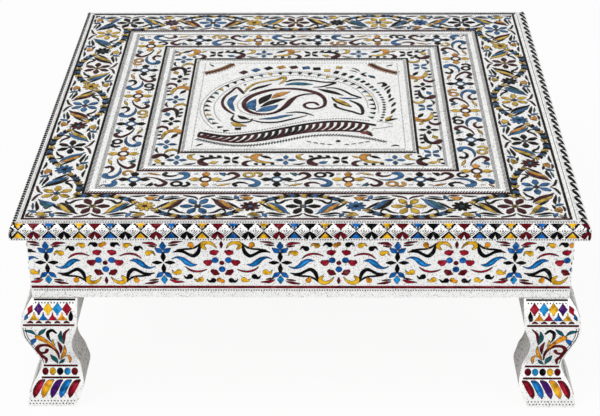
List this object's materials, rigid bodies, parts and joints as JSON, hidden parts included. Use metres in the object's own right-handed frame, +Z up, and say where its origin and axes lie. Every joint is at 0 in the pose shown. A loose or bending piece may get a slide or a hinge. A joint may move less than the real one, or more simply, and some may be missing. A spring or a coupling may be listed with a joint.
{
  "type": "low table",
  "caption": "Square low table with a rounded top edge, deep apron and cabriole legs, its wooden frame clad in embossed sheet metal painted with enamel flowers.",
  "frame": {"origin": "middle of the square footprint, on the floor the feet stand on", "axes": "+Z up, +X to the right and -Y to the front; the table is square, so any of its sides can be the front"},
  "size_m": [0.381, 0.381, 0.145],
  "materials": {
    "carcass_wood": "bare, sanded hardwood",
    "white_metal": "bright embossed sheet with a stippled ground",
    "fastener_steel": "plain zinc plated",
    "enamel_maroon": "gloss enamel",
    "enamel_crimson": "gloss enamel",
    "enamel_blue": "gloss enamel",
    "enamel_azure": "gloss enamel",
    "enamel_teal": "gloss enamel",
    "enamel_black": "gloss enamel",
    "enamel_yellow": "gloss enamel",
    "enamel_orange": "gloss enamel",
    "enamel_purple": "gloss enamel"
  },
  "bodies": {
    "root": {"top_board": "carcass_wood", "apron_rail_front": "carcass_wood", "apron_rail_right": "carcass_wood", "apron_rail_back": "carcass_wood", "apron_rail_left": "carcass_wood", "leg_front_right": "carcass_wood", "leg_front_left": "carcass_wood", "leg_back_right": "carcass_wood", "leg_back_left": "carcass_wood", "apron_sheet_front": "white_metal", "apron_sheet_right": "white_metal", "apron_sheet_back": "white_metal", "apron_sheet_left": "white_metal", "edge_strip_front": "white_metal", "edge_strip_right": "white_metal", "edge_strip_back": "white_metal", "edge_strip_left": "white_metal", "outer_band_sheet_front": "white_metal", "outer_band_sheet_right": "white_metal", "outer_band_sheet_back": "white_metal", "outer_band_sheet_left": "white_metal", "middle_band_sheet_front": "white_metal", "middle_band_sheet_right": "white_metal", "middle_band_sheet_back": "white_metal", "middle_band_sheet_left": "white_metal", "inner_band_sheet_front": "white_metal", "inner_band_sheet_right": "white_metal", "inner_band_sheet_back": "white_metal", "inner_band_sheet_left": "white_metal", "centre_panel_sheet": "white_metal", "leg_front_right_face_sheet": "white_metal", "leg_front_right_side_sheet": "white_metal", "leg_front_right_inner_face_sheet": "white_metal", "leg_front_right_inner_side_sheet": "white_metal", "leg_front_left_face_sheet": "white_metal", "leg_front_left_side_sheet": "white_metal", "leg_front_left_inner_face_sheet": "white_metal", "leg_front_left_inner_side_sheet": "white_metal", "leg_back_right_face_sheet": "white_metal", "leg_back_right_side_sheet": "white_metal", "leg_back_right_inner_face_sheet": "white_metal", "leg_back_right_inner_side_sheet": "white_metal", "leg_back_left_face_sheet": "white_metal", "leg_back_left_side_sheet": "white_metal", "leg_back_left_inner_face_sheet": "white_metal", "leg_back_left_inner_side_sheet": "white_metal", "board_screws": "fastener_steel", "frame_nails": "fastener_steel", "sheet_pins": "fastener_steel"}
  },
  "joints": []
}
